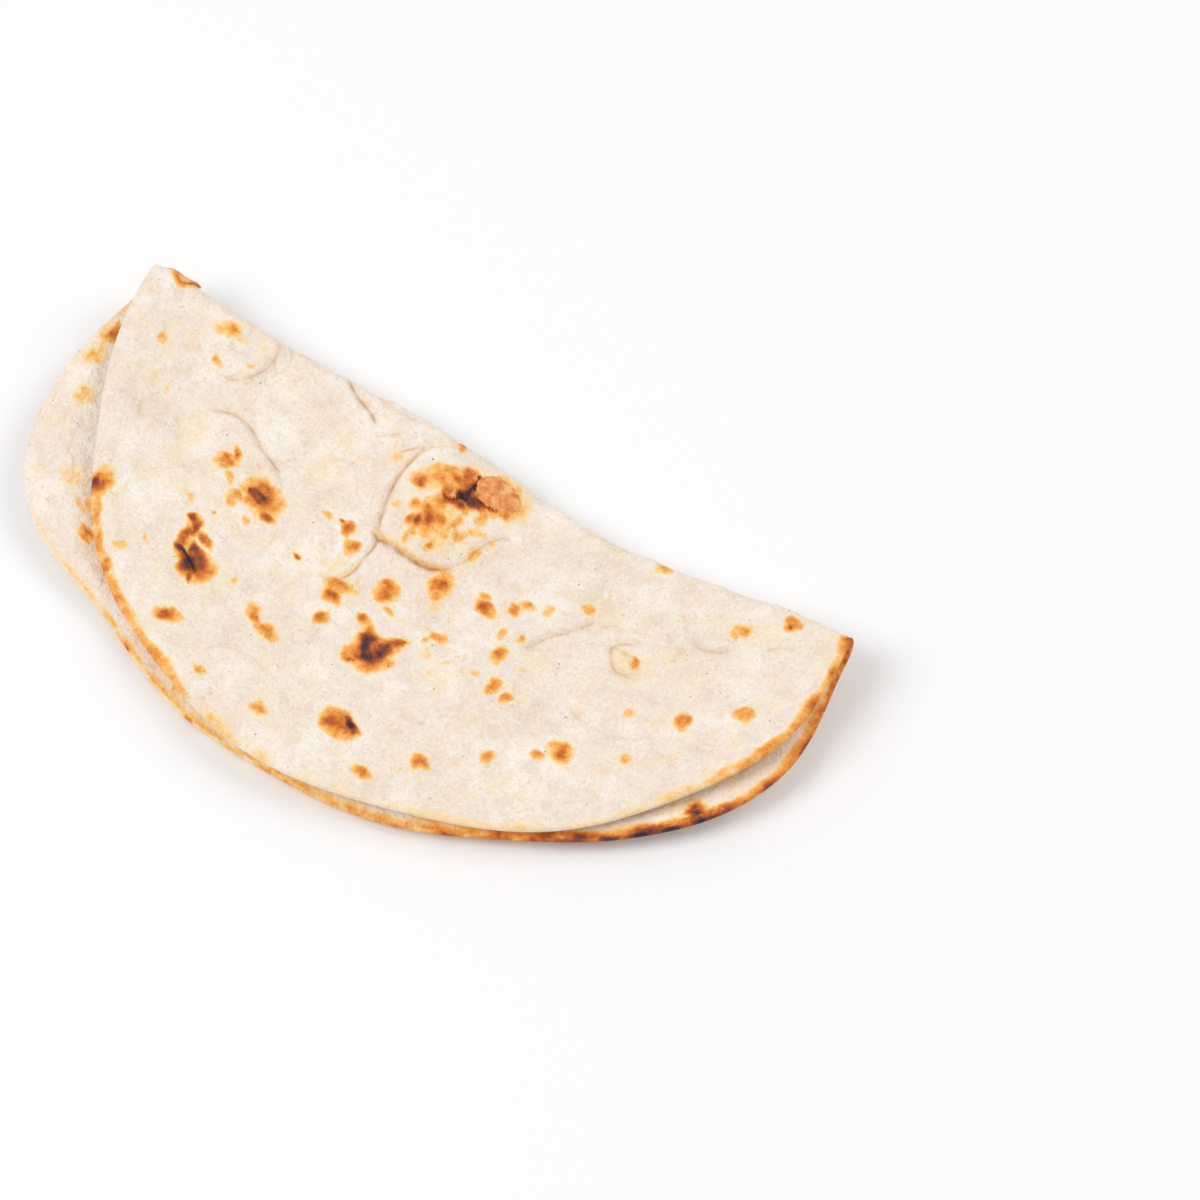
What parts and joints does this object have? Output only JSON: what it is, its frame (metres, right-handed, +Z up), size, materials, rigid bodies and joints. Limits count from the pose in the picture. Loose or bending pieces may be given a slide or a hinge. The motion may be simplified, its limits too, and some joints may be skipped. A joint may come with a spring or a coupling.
{
  "type": "tandoori roti",
  "caption": "Thin round flatbread with charred blisters, folded once in half so that its fold runs along the back and its open rim comes round to the front.",
  "frame": {"origin": "middle of the bounding box's base, on the table that the bread lies on", "axes": "+X along the fold, +Y towards the fold at the back, +Z up, with the rim towards -Y"},
  "size_m": [0.2142, 0.1014, 0.0164],
  "materials": {
    "baked_dough": "dull, finely pitted baked dough, pale cream with golden brown and black scorch spots"
  },
  "bodies": {
    "root": {"roti": "baked_dough"}
  },
  "joints": []
}
